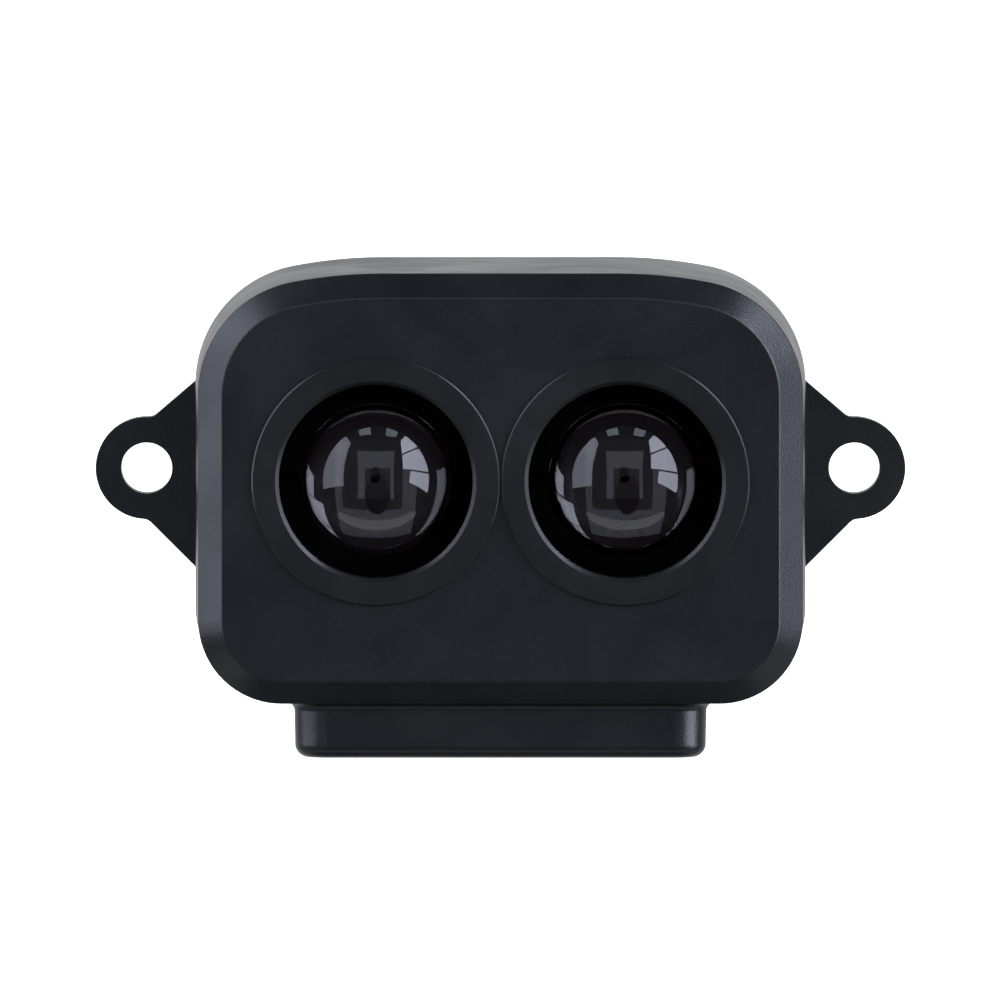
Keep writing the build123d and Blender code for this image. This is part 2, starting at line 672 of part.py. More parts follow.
with BuildPart() as thermal_pad:
    with BuildSketch(level(COVER)):
        with Locations((-LENS_X, 2.0)):
            Rectangle(*THERMAL_PAD)
    extrude(amount=MAIN_BOARD_LOW - DRIVER_CHIP[2] - COVER)

with BuildPart() as power_inductor:
    chip((0, -9.5), BOARD_FACE, INDUCTOR, 0.4)

with BuildPart() as crystal:
    chip((0, 1.5), BOARD_FACE, CRYSTAL)

with BuildPart() as capacitors:
    first = -(CAPACITORS - 1) * CAPACITOR_PITCH / 2
    with BuildSketch(level(BOARD_FACE)):
        row = MAIN_BOARD_TOP - CAPACITOR_EDGE
        with Locations(*[(first + i * CAPACITOR_PITCH, row) for i in range(CAPACITORS)]):
            Rectangle(CAPACITOR[0], CAPACITOR[1])
    extrude(amount=CAPACITOR[2])

with BuildPart() as cable_socket:
    cavity_width, cavity_height, cavity_depth = SOCKET_CAVITY
    with BuildSketch(Plane.XY.offset(SOCKET_MOUTH)):
        with Locations((0, -SOCKET_MID)):
            RectangleRounded(SOCKET_WIDTH, SOCKET_HEIGHT, SOCKET_ROUND)
    extrude(amount=SOCKET_BACK - SOCKET_MOUTH)
    with BuildSketch(Plane.XY.offset(SOCKET_MOUTH)):
        with Locations((0, -SOCKET_MID)):
            RectangleRounded(cavity_width, cavity_height, SOCKET_ROUND)
    extrude(amount=cavity_depth, mode=Mode.SUBTRACT)
    with BuildSketch(Plane.XY.offset(SOCKET_BACK)):
        with Locations((0, -SOCKET_MID)):
            with GridLocations(CONTACT_PITCH, 1, CONTACTS, 1):
                Rectangle(CONTACT, CONTACT)
    extrude(amount=SOCKET_MOUTH - SOCKET_BACK, mode=Mode.SUBTRACT)
    with BuildSketch(level(BOARD_FACE + SOCKET_HEIGHT)):
        with Locations((0, SOCKET_MOUTH + cavity_depth / 2)):
            Rectangle(*LATCH)
    extrude(amount=-(SOCKET_HEIGHT - cavity_height) / 2, mode=Mode.SUBTRACT)

with BuildPart() as socket_contacts:
    middle = CONTACT / 2 - SOCKET_MID
    heel = SOCKET_BACK + CONTACT
    first = -(CONTACTS * CONTACT_PITCH - CONTACT_PITCH + CONTACT) / 2
    for contact in range(CONTACTS):
        with BuildSketch(Plane.YZ.offset(first + contact * CONTACT_PITCH)):
            with BuildLine():
                Polyline(
                    (middle, SOCKET_MOUTH + CONTACT_RECESS),
                    (middle, heel - CONTACT),
                    (-BOARD_FACE, heel - CONTACT),
                    (-BOARD_FACE, heel + CONTACT_FOOT),
                    (-BOARD_FACE - CONTACT, heel + CONTACT_FOOT),
                    (-BOARD_FACE - CONTACT, heel),
                    (middle - CONTACT, heel),
                    (middle - CONTACT, SOCKET_MOUTH + CONTACT_RECESS),
                    close=True,
                )
            make_face()
        extrude(amount=CONTACT)

with BuildPart() as socket_seal:
    with BuildSketch(Plane.XY.offset(PORT_FACE)):
        with Locations((0, -SOCKET_MID)):
            RectangleRounded(SOCKET_WIDTH, SOCKET_HEIGHT, SOCKET_ROUND)
            RectangleRounded(*PORT, PORT_ROUND, mode=Mode.SUBTRACT)
    extrude(amount=SOCKET_SEAL)

NODES = {
    "front_housing": front_housing,
    "rear_cover": rear_cover,
    "cover_gasket": cover_gasket,
    "cover_screws": cover_screws,
    "rear_label": rear_label,
    "emitter_bezel": emitter_bezel,
    "receiver_bezel": receiver_bezel,
    "emitter_lens": emitter_lens,
    "receiver_lens": receiver_lens,
    "emitter_lens_seal": emitter_lens_seal,
    "receiver_lens_seal": receiver_lens_seal,
    "emitter_retainer": emitter_retainer,
    "receiver_retainer": receiver_retainer,
    "optical_bench": optical_bench,
    "front_gasket": front_gasket,
    "bench_screws": bench_screws,
    "emitter_board": emitter_board,
    "receiver_board": receiver_board,
    "sensor_board_screws": sensor_board_screws,
    "emitter_diode": emitter_diode,
    "photodiode": photodiode,
    "receiver_shield": receiver_shield,
    "bandpass_filter": bandpass_filter,
    "emitter_header": emitter_header,
    "receiver_header": receiver_header,
    "board_pins": board_pins,
    "main_board": main_board,
    "board_screws": board_screws,
    "processor": processor,
    "timing_chip": timing_chip,
    "driver_chip": driver_chip,
    "thermal_pad": thermal_pad,
    "power_inductor": power_inductor,
    "crystal": crystal,
    "capacitors": capacitors,
    "cable_socket": cable_socket,
    "socket_contacts": socket_contacts,
    "socket_seal": socket_seal,
}

os.makedirs("parts", exist_ok=True)
for node_name, node in NODES.items():
    node.part.label = node_name
    export_step(node.part, f"parts/{node_name}.step")
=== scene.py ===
"""The finished look of a twin-lens time-of-flight distance sensor.

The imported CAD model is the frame: +Z is up and the lenses look along -Y. Sizes
in the classes are millimetres, and MM turns them into the frame's metres.
"""

import logging
import math
from dataclasses import dataclass
from enum import Enum

import bpy
from mathutils import Matrix, Vector


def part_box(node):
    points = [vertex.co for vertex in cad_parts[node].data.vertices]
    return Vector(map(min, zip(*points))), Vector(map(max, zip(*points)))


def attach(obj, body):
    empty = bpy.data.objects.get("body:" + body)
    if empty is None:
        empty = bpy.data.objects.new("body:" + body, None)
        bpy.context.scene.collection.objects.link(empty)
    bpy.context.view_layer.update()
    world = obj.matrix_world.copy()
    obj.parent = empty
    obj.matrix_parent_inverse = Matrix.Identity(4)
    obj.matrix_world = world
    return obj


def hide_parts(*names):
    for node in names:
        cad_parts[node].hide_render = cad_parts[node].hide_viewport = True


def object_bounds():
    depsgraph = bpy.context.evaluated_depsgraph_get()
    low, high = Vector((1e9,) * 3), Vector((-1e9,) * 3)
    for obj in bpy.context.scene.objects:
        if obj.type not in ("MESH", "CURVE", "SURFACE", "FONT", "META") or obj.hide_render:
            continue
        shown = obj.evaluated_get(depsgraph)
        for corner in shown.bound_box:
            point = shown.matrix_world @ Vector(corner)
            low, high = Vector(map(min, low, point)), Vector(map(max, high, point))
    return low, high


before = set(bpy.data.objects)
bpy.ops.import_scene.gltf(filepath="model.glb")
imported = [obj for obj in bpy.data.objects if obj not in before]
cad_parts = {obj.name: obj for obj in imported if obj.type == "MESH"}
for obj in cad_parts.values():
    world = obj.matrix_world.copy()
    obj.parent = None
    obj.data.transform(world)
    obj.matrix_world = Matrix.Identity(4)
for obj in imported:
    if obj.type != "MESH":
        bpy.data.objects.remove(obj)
CAD_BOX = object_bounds()

LOG = logging.getLogger("distance_sensor")
MM = 0.001
BODY = "root"


# ---------------------------------------------------------------- helpers


def linear(hex_colour: str) -> tuple[float, float, float, float]:
    """Turns an sRGB hex colour into linear RGBA.

    Args:
        hex_colour: Six hex digits, with or without a leading hash.

    Returns:
        The colour in scene-linear light, with full alpha.
    """
    digits = hex_colour.lstrip("#")
    channels = [int(digits[i : i + 2], 16) / 255 for i in (0, 2, 4)]
    light = [c / 12.92 if c <= 0.04045 else ((c + 0.055) / 1.055) ** 2.4 for c in channels]
    return (*light, 1.0)


def add_node(tree: bpy.types.NodeTree, kind: str, inputs: dict | None = None, **settings) -> bpy.types.Node:
    """Adds one node, sets its attributes and fills or links its inputs.

    Args:
        tree: The node tree that gets the node.
        kind: The node's type name in Blender.
        inputs: Values or output sockets, by input name or number.
        **settings: Attributes of the node, such as operation or blend_type.

    Returns:
        The new node.
    """
    node = tree.nodes.new(kind)
    for name, value in settings.items():
        setattr(node, name, value)
    for key, value in (inputs or {}).items():
        if isinstance(value, bpy.types.NodeSocket):
            tree.links.new(value, node.inputs[key])
        else:
            node.inputs[key].default_value = value
    return node


def blank_material(name: str) -> tuple[bpy.types.Material, bpy.types.NodeTree]:
    """Makes a material with an empty node tree.

    Args:
        name: The finish's plain name.

    Returns:
        The material and its node tree.
    """
    material = bpy.data.materials.new(name)
    material.use_nodes = True
    material.node_tree.nodes.clear()
    return material, material.node_tree


def output_surface(tree: bpy.types.NodeTree, shader: bpy.types.NodeSocket) -> None:
    """Links a shader to the tree's surface output."""
    add_node(tree, "ShaderNodeOutputMaterial", {"Surface": shader})


def per_mm(size: float) -> float:
    """The texture scale that repeats a pattern once every size millimetres."""
    return 1 / (size * MM)


def dress(names: tuple[str, ...], material: bpy.types.Material) -> None:
    """Gives CAD nodes a finish and reports each one.

    Args:
        names: The CAD nodes, by name.
        material: The finish that fills their material slots.
    """
    for name in names:
        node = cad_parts[name]
        if not node.material_slots:
            node.data.materials.append(material)
        for slot in node.material_slots:
            slot.material = material
        LOG.info("%s: %s", name, material.name)


def finish_piece(piece: bpy.types.Object, material: bpy.types.Material, slot: str, *nodes: str) -> None:
    """Dresses a modelled piece, rides it on the body and swaps it for CAD nodes.

    Args:
        piece: The new object, in place in the frame.
        material: Its finish.
        slot: A material slot of the record; not used.
        *nodes: The CAD nodes it stands for.
    """
    piece.data.materials.clear()
    piece.data.materials.append(material)
    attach(piece, BODY)
    if nodes:
        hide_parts(*nodes)
    LOG.info("%s: %s", piece.name, material.name)


def mesh_object(name: str, points: list, faces: list, smooth_below: float = 35.0) -> bpy.types.Object:
    """Makes a mesh object with smooth faces and sharp edges.

    Args:
        name: The piece's name.
        points: Vertices in metres.
        faces: Vertex numbers of each face.
        smooth_below: Edges that turn more than this many degrees stay sharp.

    Returns:
        The linked object.
    """
    mesh = bpy.data.meshes.new(name)
    mesh.from_pydata(points, [], faces)
    mesh.validate()
    mesh.shade_smooth()
    mesh.set_sharp_from_angle(angle=math.radians(smooth_below))
    piece = bpy.data.objects.new(name, mesh)
    bpy.context.scene.collection.objects.link(piece)
    return piece


def turned_piece(name: str, centre: Vector, profile: list, sides: int) -> bpy.types.Object:
    """Turns a closed or axis-to-axis profile around an axis along Y.

    Args:
        name: The piece's name.
        centre: A point on the axis, in metres.
        profile: (radius, y) pairs in metres; a radius of zero is a pole.
        sides: How many sides the turned faces get.

    Returns:
        The turned object.
    """
    points, rings = [], []
    for radius, y in profile:
        if radius <= 0:
            rings.append([len(points)] * sides)
            points.append((centre.x, y, centre.z))
            continue
        rings.append(list(range(len(points), len(points) + sides)))
        for side in range(sides):
            turn = 2 * math.pi * side / sides
            points.append((centre.x + radius * math.cos(turn), y, centre.z + radius * math.sin(turn)))
    faces = []
    for ring, following in zip(rings, rings[1:]):
        for side in range(sides):
            after = (side + 1) % sides
            corners = [ring[after], ring[side], following[side], following[after]]
            faces.append(list(dict.fromkeys(corners)))
    return mesh_object(name, points, faces)


# ---------------------------------------------------------------- finishes


@dataclass(frozen=True)
class MouldedPlastic:
    """An injection-moulded thermoplastic with a spark-eroded grain.

    The tool's fine pits break the highlights up into a soft satin, and slow
    drifts in shade come from the melt's flow. A real spark grain is about
    0.05 mm across, too fine to show, so it is drawn a few times coarser.
    """

    name: str
    colour: str
    flow_colour: str
    roughness: float = 0.5
    roughness_drift: float = 0.05
    grain: float = 0.16  # mm across one pit
    grain_height: float = 0.006  # mm from pit to crest
    flow: float = 7.0  # mm across one drift in the melt
    ior: float = 1.54
    pit_shade_and_crest_light: float = 0.25  # how far painted shade darkens the grain's pits and painted light lightens its crests

    def build(self) -> bpy.types.Material:
        """Builds the plastic's material."""
        material, tree = blank_material(self.name)
        place = add_node(tree, "ShaderNodeTexCoord").outputs["Object"]
        grain = add_node(
            tree,
            "ShaderNodeTexNoise",
            {"Vector": place, "Scale": per_mm(self.grain), "Detail": 2.0, "Roughness": 0.6},
        )
        flow = add_node(
            tree,
            "ShaderNodeTexNoise",
            {"Vector": place, "Scale": per_mm(self.flow), "Detail": 3.0, "Distortion": 0.6},
        )
        drift = add_node(
            tree, "ShaderNodeMapRange", {"Value": flow.outputs["Fac"], "From Min": 0.35, "From Max": 0.65}
        )
        tint = add_node(
            tree,
            "ShaderNodeMix",
            {0: drift.outputs["Result"], 6: linear(self.colour), 7: linear(self.flow_colour)},
            data_type="RGBA",
        )
        # Painted shade and painted light: the colour is multiplied darker where the grain's bump is low and
        # lighter where it is high.
        pits = add_node(
            tree,
            "ShaderNodeMapRange",
            {
                "Value": grain.outputs["Fac"],
                "From Min": 0.3,
                "From Max": 0.7,
                "To Min": 1 - self.pit_shade_and_crest_light,
                "To Max": 1 + self.pit_shade_and_crest_light,
            },
        )
        shade = add_node(
            tree,
            "ShaderNodeVectorMath",
            {0: tint.outputs[2], 1: pits.outputs["Result"]},
            operation="MULTIPLY",
        )
        rough = add_node(
            tree,
            "ShaderNodeMapRange",
            {
                "Value": flow.outputs["Fac"],
                "From Min": 0.3,
                "From Max": 0.7,
                "To Min": self.roughness - self.roughness_drift,
                "To Max": self.roughness + self.roughness_drift,
            },
        )
        bump = add_node(
            tree,
            "ShaderNodeBump",
            {"Height": grain.outputs["Fac"], "Distance": self.grain_height * MM, "Strength": 1.0},
        )
        shader = add_node(
            tree,
            "ShaderNodeBsdfPrincipled",
            {
                "Base Color": shade.outputs["Vector"],
                "Roughness": rough.outputs["Result"],
                "IOR": self.ior,
                "Normal": bump.outputs["Normal"],
            },
        )
        output_surface(tree, shader.outputs["BSDF"])
        return material


@dataclass(frozen=True)
class ClearAcrylic:
    """Optical acrylic, diamond-turned and polished, so it only refracts and mirrors.

    The eye sees two sets of the studio's lights in it: upright ones in the
    curved front, and upside-down ones in the flat rear.
    """

    name: str = "optical_acrylic"
    colour: str = "#f4f3f6"
    ior: float = 1.49
    polish_marks: float = 0.35  # mm across one polishing mark
    mark_height: float = 0.00002  # mm, a fraction of a wavelength

    def build(self) -> bpy.types.Material:
        """Builds the lens material."""
        material, tree = blank_material(self.name)
        place = add_node(tree, "ShaderNodeTexCoord").outputs["Object"]
        marks = add_node(
            tree, "ShaderNodeTexNoise", {"Vector": place, "Scale": per_mm(self.polish_marks), "Detail": 1.0}
        )
        bump = add_node(
            tree,
            "ShaderNodeBump",
            {"Height": marks.outputs["Fac"], "Distance": self.mark_height * MM, "Strength": 1.0},
        )
        shader = add_node(
            tree,
            "ShaderNodeBsdfPrincipled",
            {
                "Base Color": linear(self.colour),
                "Roughness": 0.0,
                "IOR": self.ior,
                "Transmission Weight": 1.0,
                "Normal": bump.outputs["Normal"],
            },
        )
        output_surface(tree, shader.outputs["BSDF"])
        return material


@dataclass(frozen=True)
class FilterGlass:
    """An interference filter: dark red glass with a mirror-smooth coated face."""

    name: str = "interference_filter_glass"
    colour: str = "#3a0a0c"
    edge_colour: str = "#1c0508"
    cloud: float = 1.5  # mm across one unevenness of the coating
    roughness: float = 0.06
    ior: float = 1.9  # glass under a coating of high index
    clearness: float = 0.25

    def build(self) -> bpy.types.Material:
        """Builds the filter's material."""
        material, tree = blank_material(self.name)
        place = add_node(tree, "ShaderNodeTexCoord").outputs["Object"]
        cloud = add_node(tree, "ShaderNodeTexNoise", {"Vector": place, "Scale": per_mm(self.cloud)})
        tint = add_node(
            tree,
            "ShaderNodeMix",
            {0: cloud.outputs["Fac"], 6: linear(self.colour), 7: linear(self.edge_colour)},
            data_type="RGBA",
        )
        shader = add_node(
            tree,
            "ShaderNodeBsdfPrincipled",
            {
                "Base Color": tint.outputs[2],
                "Roughness": self.roughness,
                "IOR": self.ior,
                "Transmission Weight": self.clearness,
            },
        )
        output_surface(tree, shader.outputs["BSDF"])
        return material


@dataclass(frozen=True)
class SiliconeRubber:
    """Moulded silicone: matt, slightly waxy, with talc specks from handling."""

    name: str
    colour: str
    dust_colour: str
    speck: float = 0.4  # mm between specks of talc
    speck_height: float = 0.01  # mm
    dusty: tuple[float, float] = (0.58, 0.75)  # where talc starts and is full, of the noise
    roughness: float = 0.68
    ior: float = 1.41
    bloom: float = 0.1  # the faint sheen of the waxy skin

    def build(self) -> bpy.types.Material:
        """Builds the rubber's material."""
        material, tree = blank_material(self.name)
        place = add_node(tree, "ShaderNodeTexCoord").outputs["Object"]
        specks = add_node(
            tree,
            "ShaderNodeTexNoise",
            {"Vector": place, "Scale": per_mm(self.speck), "Detail": 6.0, "Roughness": 0.7},
        )
        bare, dusted = self.dusty
        dust = add_node(
            tree, "ShaderNodeMapRange", {"Value": specks.outputs["Fac"], "From Min": bare, "From Max": dusted}
        )
        tint = add_node(
            tree,
            "ShaderNodeMix",
            {0: dust.outputs["Result"], 6: linear(self.colour), 7: linear(self.dust_colour)},
            data_type="RGBA",
        )
        bump = add_node(
            tree, "ShaderNodeBump", {"Height": specks.outputs["Fac"], "Distance": self.speck_height * MM}
        )
        shader = add_node(
            tree,
            "ShaderNodeBsdfPrincipled",
            {
                "Base Color": tint.outputs[2],
                "Roughness": self.roughness,
                "IOR": self.ior,
                "Sheen Weight": self.bloom,
                "Normal": bump.outputs["Normal"],
            },
        )
        output_surface(tree, shader.outputs["BSDF"])
        return material


@dataclass(frozen=True)
class WorkedMetal:
    """A plated or blackened metal with fine drawn lines from its forming.

    The lines pull a highlight out into a streak, and faint stains dull it.
    """

    name: str
    colour: str
    stain_colour: str
    roughness: float = 0.32
    smoother: float = 0.1  # how far the roughness falls between the lines
    rougher: float = 0.12  # how far it rises on them
    line: float = 0.08  # mm between drawn lines
    line_height: float = 0.003  # mm
    stretch: float = 14.0  # how many times longer than wide a line is
    stain: float = 1.6  # mm across one stain

    def build(self) -> bpy.types.Material:
        """Builds the metal's material."""
        material, tree = blank_material(self.name)
        place = add_node(tree, "ShaderNodeTexCoord").outputs["Object"]
        drawn = add_node(tree, "ShaderNodeMapping", {"Vector": place, "Scale": (1 / self.stretch, 1.0, 1.0)})
        lines = add_node(
            tree,
            "ShaderNodeTexNoise",
            {"Vector": drawn.outputs["Vector"], "Scale": per_mm(self.line), "Detail": 3.0},
        )
        stains = add_node(
            tree, "ShaderNodeTexNoise", {"Vector": place, "Scale": per_mm(self.stain), "Detail": 5.0}
        )
        tint = add_node(
            tree,
            "ShaderNodeMix",
            {0: stains.outputs["Fac"], 6: linear(self.colour), 7: linear(self.stain_colour)},
            data_type="RGBA",
        )
        rough = add_node(
            tree,
            "ShaderNodeMapRange",
            {
                "Value": lines.outputs["Fac"],
                "To Min": self.roughness - self.smoother,
                "To Max": self.roughness + self.rougher,
            },
        )
        bump = add_node(
            tree, "ShaderNodeBump", {"Height": lines.outputs["Fac"], "Distance": self.line_height * MM}
        )
        shader = add_node(
            tree,
            "ShaderNodeBsdfPrincipled",
            {
                "Base Color": tint.outputs[2],
                "Metallic": 1.0,
                "Roughness": rough.outputs["Result"],
                "Normal": bump.outputs["Normal"],
            },
        )
        output_surface(tree, shader.outputs["BSDF"])
        return material


@dataclass(frozen=True)
class SolderMask:
    """Glass-epoxy laminate under a black mask, with copper tracks standing through it."""

    name: str = "black_solder_mask_on_laminate"
    mask_colour: str = "#0c0e0e"
    copper_colour: str = "#1a1d1c"
    fibre_colour: str = "#5c563c"
    track: float = 1.4  # mm between tracks
    track_jitter: float = 0.55  # how far the tracks leave a square grid
    track_fold: float = 0.22  # of a cell, where one track gives way to the next
    track_edge: tuple[float, float] = (0.1, 0.13)  # of a cell, where a track's edge rises
    track_height: float = 0.03  # mm of copper under the mask
    weave: float = 0.5  # mm between glass yarns
    weave_shows: float = 0.04  # how much of the yarns' colour comes through
    roughness: float = 0.28
    ior: float = 1.55

    def build(self) -> bpy.types.Material:
        """Builds the board's material."""
        material, tree = blank_material(self.name)
        place = add_node(tree, "ShaderNodeTexCoord").outputs["Object"]
        cells = add_node(
            tree,
            "ShaderNodeTexVoronoi",
            {"Vector": place, "Scale": per_mm(self.track), "Randomness": self.track_jitter},
            distance="MANHATTAN",
            feature="F2",
        )
        tracks = add_node(
            tree, "ShaderNodeMath", {0: cells.outputs["Distance"], 1: self.track_fold}, operation="PINGPONG"
        )
        foot, top = self.track_edge
        laid = add_node(
            tree, "ShaderNodeMapRange", {"Value": tracks.outputs["Value"], "From Min": foot, "From Max": top}
        )
        weave = add_node(tree, "ShaderNodeTexChecker", {"Vector": place, "Scale": per_mm(self.weave)})
        tint = add_node(
            tree,
            "ShaderNodeMix",
            {0: laid.outputs["Result"], 6: linear(self.mask_colour), 7: linear(self.copper_colour)},
            data_type="RGBA",
        )
        fibres = add_node(
            tree, "ShaderNodeMath", {0: weave.outputs["Fac"], 1: self.weave_shows}, operation="MULTIPLY"
        )
        colour = add_node(
            tree,
            "ShaderNodeMix",
            {0: fibres.outputs["Value"], 6: tint.outputs[2], 7: linear(self.fibre_colour)},
            data_type="RGBA",
        )
        bump = add_node(
            tree, "ShaderNodeBump", {"Height": laid.outputs["Result"], "Distance": self.track_height * MM}
        )
        shader = add_node(
            tree,
            "ShaderNodeBsdfPrincipled",
            {
                "Base Color": colour.outputs[2],
                "Roughness": self.roughness,
                "IOR": self.ior,
                "Normal": bump.outputs["Normal"],
            },
        )
        output_surface(tree, shader.outputs["BSDF"])
        return material


@dataclass(frozen=True)
class CeramicChip:
    """Multilayer ceramic blocks with tinned ends, repeated along X at one pitch."""

    name: str = "barium_titanate_ceramic_with_tinned_ends"
    body_colour: str = "#8f6a45"
    end_colour: str = "#c6c3bb"
    pitch: float = 3.0  # mm from one block to the next
    body_half: float = 0.5  # mm from a block's middle to its tinned end
    grain: float = 0.2  # mm across one fired grain, drawn coarse enough to show
    grain_height: float = 0.01  # mm
    roughness: float = 0.4

    def build(self) -> bpy.types.Material:
        """Builds the capacitors' material."""
        material, tree = blank_material(self.name)
        place = add_node(tree, "ShaderNodeTexCoord").outputs["Object"]
        along = add_node(tree, "ShaderNodeSeparateXYZ", {"Vector": place}).outputs["X"]
        offset = add_node(
            tree, "ShaderNodeMath", {0: along, 1: self.pitch / 2 * MM}, operation="PINGPONG"
        ).outputs["Value"]
        tinned = add_node(
            tree, "ShaderNodeMath", {0: offset, 1: self.body_half * MM}, operation="GREATER_THAN"
        ).outputs["Value"]
        fired = add_node(
            tree, "ShaderNodeTexNoise", {"Vector": place, "Scale": per_mm(self.grain), "Detail": 4.0}
        )
        tint = add_node(
            tree,
            "ShaderNodeMix",
            {0: tinned, 6: linear(self.body_colour), 7: linear(self.end_colour)},
            data_type="RGBA",
        )
        bump = add_node(
            tree, "ShaderNodeBump", {"Height": fired.outputs["Fac"], "Distance": self.grain_height * MM}
        )
        shader = add_node(
            tree,
            "ShaderNodeBsdfPrincipled",
            {
                "Base Color": tint.outputs[2],
                "Metallic": tinned,
                "Roughness": self.roughness,
                "Normal": bump.outputs["Normal"],
            },
        )
        output_surface(tree, shader.outputs["BSDF"])
        return material


@dataclass(frozen=True)
class PrintedFilm:
    """A silver polyester label: matt film, a printed border and blank fields."""

    name: str = "printed_polyester_film"
    film_colour: str = "#b9bbbd"
    ink_colour: str = "#1b1c1e"
    border_inset: float = 1.0  # mm from the label's edge to its border
    border_width: float = 0.25  # mm
    field_height: float = 3.2  # mm between the ruled lines
    fibre: float = 0.3  # mm across one fibre of the matt coat, drawn coarse enough to show
    fibre_height: float = 0.004  # mm
    roughness: float = 0.42
    ior: float = 1.57

    def build(self, low: Vector, high: Vector) -> bpy.types.Material:
        """Builds the label's material.

        Args:
            low: The label's lowest corner, in metres.
            high: The label's highest corner, in metres.

        Returns:
            The material, with its border drawn to the label's own size.
        """
        material, tree = blank_material(self.name)
        place = add_node(tree, "ShaderNodeTexCoord").outputs["Object"]
        axes = add_node(tree, "ShaderNodeSeparateXYZ", {"Vector": place})
        middle, half = (low + high) / 2, (high - low) / 2
        gaps = []
        for axis, centre, reach in (("X", middle.x, half.x), ("Z", middle.z, half.z)):
            shifted = add_node(
                tree, "ShaderNodeMath", {0: axes.outputs[axis], 1: centre}, operation="SUBTRACT"
            )
            away = add_node(tree, "ShaderNodeMath", {0: shifted.outputs[0]}, operation="ABSOLUTE")
            gap = add_node(tree, "ShaderNodeMath", {0: reach, 1: away.outputs[0]}, operation="SUBTRACT")
            gaps.append(gap.outputs[0])
        nearest = add_node(tree, "ShaderNodeMath", {0: gaps[0], 1: gaps[1]}, operation="MINIMUM").outputs[0]
        border = add_node(
            tree,
            "ShaderNodeMath",
            {0: nearest, 1: self.border_inset * MM, 2: self.border_width / 2 * MM},
            operation="COMPARE",
        ).outputs[0]
        rows = add_node(
            tree, "ShaderNodeMath", {0: gaps[1], 1: self.field_height * MM}, operation="PINGPONG"
        ).outputs[0]
        rule = add_node(
            tree, "ShaderNodeMath", {0: rows, 1: self.border_width / 2 * MM}, operation="LESS_THAN"
        ).outputs[0]
        inside = add_node(
            tree, "ShaderNodeMath", {0: nearest, 1: self.border_inset * MM}, operation="GREATER_THAN"
        ).outputs[0]
        ruled = add_node(tree, "ShaderNodeMath", {0: rule, 1: inside}, operation="MULTIPLY").outputs[0]
        ink = add_node(tree, "ShaderNodeMath", {0: border, 1: ruled}, operation="MAXIMUM").outputs[0]
        fibres = add_node(
            tree, "ShaderNodeTexNoise", {"Vector": place, "Scale": per_mm(self.fibre), "Detail": 5.0}
        )
        tint = add_node(
            tree,
            "ShaderNodeMix",
            {0: ink, 6: linear(self.film_colour), 7: linear(self.ink_colour)},
            data_type="RGBA",
        )
        bump = add_node(
            tree, "ShaderNodeBump", {"Height": fibres.outputs["Fac"], "Distance": self.fibre_height * MM}
        )
        shader = add_node(
            tree,
            "ShaderNodeBsdfPrincipled",
            {
                "Base Color": tint.outputs[2],
                "Roughness": self.roughness,
                "IOR": self.ior,
                "Normal": bump.outputs["Normal"],
            },
        )
        output_surface(tree, shader.outputs["BSDF"])
        return material


# Moulded in a spark-eroded tool: a satin black whose bevels catch the side lights.
HOUSING_ABS = MouldedPlastic(
    "spark_grained_black_abs", "#05060a", "#040508", roughness=0.36, grain=0.24, grain_height=0.015
)
# The same plastic from a coarser tool, so the cover looks a little duller.
COVER_ABS = MouldedPlastic(
    "flat_black_abs_of_the_cover", "#040506", "#020304", roughness=0.4, grain=0.28, grain_height=0.016
)
# A polished tool with hardly any grain: thin clean lines of light round the rings.
BEZEL_ABS = MouldedPlastic(
    "satin_black_abs_of_the_bezels",
    "#07080a",
    "#050608",
    roughness=0.34,
    grain=0.1,
    grain_height=0.002,
    pit_shade_and_crest_light=0.08,
)
# Ribbed and flocked to trap light. The flock swallows the plastic's gloss, which
# the low IOR stands for, so the wells round the lenses stay black.
BENCH_NYLON = MouldedPlastic(
    "light_trap_black_nylon", "#020202", "#010101", roughness=0.9, ior=1.1, grain=0.25, grain_height=0.012
)
# Unfilled nylon, smooth from the tool: a waxy ivory.
SOCKET_NYLON = MouldedPlastic(
    "ivory_nylon_of_the_socket", "#d8d0bc", "#cfc6b0", roughness=0.38, pit_shade_and_crest_light=0.04
)
# Transfer-moulded and full of silica, which leaves it grey and dull.
CHIP_EPOXY = MouldedPlastic(
    "filled_epoxy_of_the_chips", "#1a1a1c", "#222224", roughness=0.62, grain=0.1, grain_height=0.008, ior=1.58
)
# Cast with a dye that passes only infrared: a deep glossy red-brown.
DIODE_EPOXY = MouldedPlastic(
    "red_tinted_epoxy_of_the_diode",
    "#2a0d08",
    "#350f09",
    roughness=0.3,
    grain=0.3,
    grain_height=0.001,
    pit_shade_and_crest_light=0.1,
)
# Compression-moulded seals: matt black with a trace of talc.
SEAL_SILICONE = SiliconeRubber("black_silicone_seal", "#161616", "#2c2b2a")
# Filled with ceramic powder to carry heat: a chalky blue-grey.
PAD_SILICONE = SiliconeRubber("filled_silicone_pad", "#5f6f7d", "#93a0aa", roughness=0.8)
# Headed, rolled and blackened in a salt bath: dark, with oily streaks of light.
SCREW_STEEL = WorkedMetal("black_oxide_steel", "#37373b", "#242427", roughness=0.36)
# Tin plate sprayed black, so it adds no stray light.
SHIELD_BLACK = MouldedPlastic(
    "black_lacquer_on_tin_plate", "#050505", "#080808", roughness=0.7, grain=0.3, grain_height=0.003
)
# Drawn cans of tin plate: bright, with the lines of the press tool.
SHIELD_TIN = WorkedMetal("tin_plated_steel_sheet", "#c9c7c1", "#a9a7a1", roughness=0.3)
# Stamped brass under a flash of gold: small warm glints.
PIN_GOLD = WorkedMetal("gold_plated_brass", "#d9b46a", "#b98f44", roughness=0.24)


# ---------------------------------------------------------------- sub-assemblies


